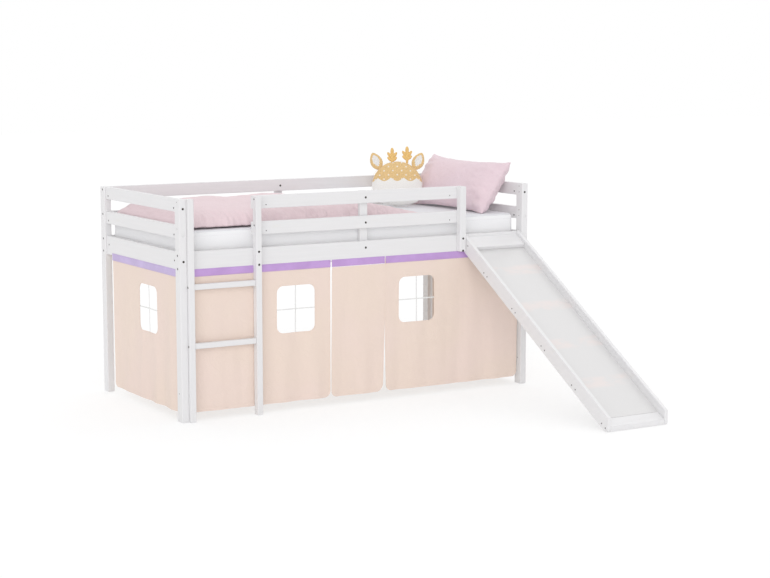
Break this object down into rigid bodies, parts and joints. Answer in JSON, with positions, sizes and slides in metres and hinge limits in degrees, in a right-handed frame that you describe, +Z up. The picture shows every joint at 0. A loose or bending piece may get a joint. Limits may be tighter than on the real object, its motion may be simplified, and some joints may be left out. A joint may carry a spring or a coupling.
{
  "type": "loft bed with slide",
  "caption": "Mid-height wooden loft bed with guard rails, a ladder, a slide, a play curtain with windows, and its bedding.",
  "frame": {"origin": "centre of the object's box on the floor", "axes": "+X along the bed from the ladder towards the slide, +Y from the slide's foot to the bed's back, +Z up"},
  "size_m": [2.1, 2.29, 1.2929],
  "materials": {
    "white_paint": "satin white paint on pine",
    "white_panel": "smooth white lacquer on board",
    "bare_pine": "planed, unfinished",
    "zinc": "zinc plated",
    "peach_cloth": "plain woven cotton",
    "purple_tape": "plain woven tape",
    "mattress_cloth": "knitted ticking over foam",
    "pink_cotton": "cotton cover over filling",
    "ochre_plush": "short plush over filling"
  },
  "bodies": {
    "bed": {"post_front_left": "white_paint", "post_front_right": "white_paint", "post_rear_left": "white_paint", "post_rear_right": "white_paint", "left_top_rail": "white_paint", "left_lower_rail": "white_paint", "left_end_board": "white_paint", "right_top_rail": "white_paint", "right_lower_rail": "white_paint", "right_end_board": "white_paint", "front_side_board": "white_paint", "rear_side_board": "white_paint", "rear_top_rail": "white_paint", "rear_lower_rail": "white_paint", "rear_mid_post": "white_paint", "front_top_rail": "white_paint", "front_lower_rail": "white_paint", "front_mid_post": "white_paint", "front_short_post": "white_paint", "ladder_left_stile": "white_paint", "ladder_right_stile": "white_paint", "ladder_upper_rung": "white_paint", "ladder_lower_rung": "white_paint", "front_ledger": "bare_pine", "rear_ledger": "bare_pine", "slatted_base": "bare_pine", "slide_left_cheek": "white_paint", "slide_right_cheek": "white_paint", "slide_foot_bar": "white_paint", "slide_top_bar": "white_paint", "slide_batten_1": "white_paint", "slide_batten_2": "white_paint", "slide_batten_3": "white_paint", "slide_batten_4": "white_paint", "slide_panel": "white_panel", "bolt_front_left_upper": "zinc", "bolt_front_left_lower": "zinc", "bolt_front_right_upper": "zinc", "bolt_front_right_lower": "zinc", "bolt_rear_left_upper": "zinc", "bolt_rear_left_lower": "zinc", "bolt_rear_right_upper": "zinc", "bolt_rear_right_lower": "zinc", "curtain_front_left": "peach_cloth", "curtain_front_right": "peach_cloth", "curtain_left_end": "peach_cloth", "curtain_right_end": "peach_cloth", "tape_ladder": "purple_tape", "tape_front_left": "purple_tape", "tape_flap": "purple_tape", "tape_front_right": "purple_tape", "tape_left_end": "purple_tape", "tape_right_end": "purple_tape"},
    "door_flap": {"curtain_flap": "peach_cloth"},
    "mattress": {"mattress": "mattress_cloth"},
    "duvet": {"duvet": "pink_cotton"},
    "pillow": {"pillow": "pink_cotton"},
    "cushion": {"cushion_head": "ochre_plush", "cushion_left_ear": "ochre_plush", "cushion_right_ear": "ochre_plush"}
  },
  "joints": [
    {"name": "door_flap_hinge", "type": "hinge", "parent": "bed", "child": "door_flap", "pos_m": [-0.021, 0.1427, 0.7291], "axis": [1, 0, 0], "range_deg": [-75, 75]},
    {"name": "mattress_lift", "type": "slide", "parent": "bed", "child": "mattress", "axis": [0, 0, 1], "range_m": [0, 0.3]},
    {"name": "duvet_lift", "type": "slide", "parent": "mattress", "child": "duvet", "axis": [0, 0, 1], "range_m": [0, 0.3]},
    {"name": "pillow_lift", "type": "slide", "parent": "mattress", "child": "pillow", "axis": [0, 0, 1], "range_m": [0, 0.3]},
    {"name": "cushion_lift", "type": "slide", "parent": "mattress", "child": "cushion", "axis": [0, 0, 1], "range_m": [0, 0.3]}
  ]
}
